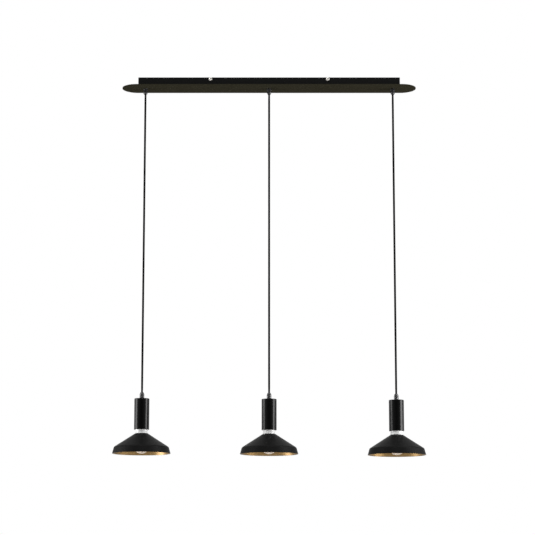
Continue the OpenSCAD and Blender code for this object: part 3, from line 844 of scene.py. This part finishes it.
def add_bulb_cap(i, finishes):
    """A threaded metal cap with a dark insulator and a centre contact."""
    _, tip = axis_ends(f"bulb_cap_{i}")
    r, cone = CAP_D / 2, -CAP_TIP_H - CAP_CONE_H
    contact = profile([(CAP_FLAT_R, 0), (CAP_TIP_D / 2, 0), (CAP_TIP_D / 2, -CAP_TIP_H)], CAP_TIP_EDGES)
    insulator = profile([(r - CAP_CONE_STEP, -CAP_TIP_H - CAP_CONE_H / 2)])
    shell = divided(profile([(r, cone), (r, -CAP_L)]), CAP_STEP * MM) + profile([(CAP_FLAT_R, -CAP_L)])
    slots = [0] * (len(contact) - 1) + [1] * 2 + [0] * (len(shell) - 1)
    skin = Skin()
    skin.turned(contact + insulator + shell, tip, CAP_FACETS, cap_thread, closed=False, slots=slots)
    piece(f"threaded_cap_{i}", skin, f"bulb_{i}", [finishes["nickel"], finishes["holder_black"]],
          [f"bulb_cap_{i}"])


def add_head(i, finishes):
    """The pieces of one head that stand for CAD nodes."""
    foot, top = axis_ends(f"sleeve_{i}")
    add_head_wiring(i, top, finishes)
    add_sleeve_grip(i, top, finishes)
    add_neck_ring(i, foot, finishes)
    add_shade(i, foot - Vector((0, 0, NECK_H * MM)), finishes)
    add_ring_nut(i, finishes)
    add_bulb_cap(i, finishes)


def dress_nodes(finishes):
    """Gives each CAD node that is still shown the finish of its slot."""
    for row in frame["record"]["subparts"]:
        thing = NODES[row["node"]]
        if not thing.hide_render:
            thing.material_slots[0].material = finishes[row["material_slot"]]


# Studio

def add_plane(name, corners, material):
    """A flat face of the studio, which isn't part of the lamp."""
    mesh = bpy.data.meshes.new(name)
    mesh.from_pydata(corners, [], [tuple(range(len(corners)))])
    mesh.materials.append(material)
    thing = bpy.data.objects.new(name, mesh)
    bpy.context.scene.collection.objects.link(thing)


def backdrop_finish():
    """Plain white to the camera and in reflections, and a plain wall to the rest of the light."""
    finish = Finish("backdrop", BACKDROP_COLOUR, 0.9)
    path = finish.node("ShaderNodeLightPath").outputs
    seen = finish.math("MAXIMUM", path["Is Camera Ray"],
                       finish.math("MAXIMUM", path["Is Glossy Ray"], path["Is Transmission Ray"]))
    glow = finish.node("ShaderNodeEmission")
    glow.inputs["Strength"].default_value = 1.0
    blend = finish.node("ShaderNodeMixShader")
    finish.put(seen, blend.inputs[0])
    finish.put(finish.shader.outputs[0], blend.inputs[1])
    finish.put(glow.outputs[0], blend.inputs[2])
    finish.put(blend.outputs[0], finish.tree.nodes["Material Output"].inputs["Surface"])
    return finish.material


def floor_finish():
    """A pale floor with faint, wide patches."""
    finish = Finish("floor", FLOOR_COLOUR, 0.8)
    finish.vary_colour(finish.noise(0.6), tuple(FLOOR_PATCHES * c for c in FLOOR_COLOUR))
    return finish.material


def add_light(name, place, aim, width, height, radiance):
    """A soft rectangular light that the camera doesn't see."""
    data = bpy.data.lights.new(name, "AREA")
    data.shape = "RECTANGLE"
    data.size, data.size_y = width, height
    data.energy = radiance * math.pi * width * height
    light = bpy.data.objects.new(name, data)
    light.location = place
    light.rotation_euler = (Vector(aim) - Vector(place)).to_track_quat("-Z", "Y").to_euler()
    light.visible_camera = False
    bpy.context.scene.collection.objects.link(light)


def darken_behind_viewer(tree):
    """Grey all round, turning dark towards -Y, where the viewer of the photograph stands."""
    place = tree.nodes.new("ShaderNodeTexCoord").outputs["Generated"]
    axes = tree.nodes.new("ShaderNodeSeparateXYZ")
    grey = tree.nodes.new("ShaderNodeMapRange")
    tones = {"From Min": -1, "From Max": WORLD_DARK_TO, "To Min": WORLD_DARK, "To Max": WORLD_GREY}
    for socket, value in tones.items():
        grey.inputs[socket].default_value = value
    tree.links.new(place, axes.inputs[0])
    tree.links.new(axes.outputs["Y"], grey.inputs["Value"])
    tree.links.new(grey.outputs[0], tree.nodes["Background"].inputs["Color"])


def add_studio():
    """Floor, backdrop, lights and world."""
    far, z = FLOOR_HALF, FLOOR_Z
    add_plane("floor", [(-far, -far, z), (far, -far, z), (far, far, z), (-far, far, z)], floor_finish())
    half, y, up = BACKDROP_HALF, BACKDROP_Y, BACKDROP_TOP
    add_plane("backdrop", [(-half, y, z), (half, y, z), (half, y, up), (-half, y, up)], backdrop_finish())
    for light in SOFT_LIGHTS:
        add_light(*light)
    world = bpy.data.worlds.new("studio")
    world.use_nodes = True
    bpy.context.scene.world = world
    darken_behind_viewer(world.node_tree)
    bpy.context.scene.view_settings.view_transform = "Standard"


add_camera()
finishes = make_finishes()
for pendant in PENDANTS:
    add_cord(pendant, finishes["cord_cover"])
add_canopy_wiring(finishes)
add_canopy_grips(finishes)
add_side_screws(finishes)
for pendant in PENDANTS:
    add_head(pendant, finishes)
dress_nodes(finishes)
add_studio()
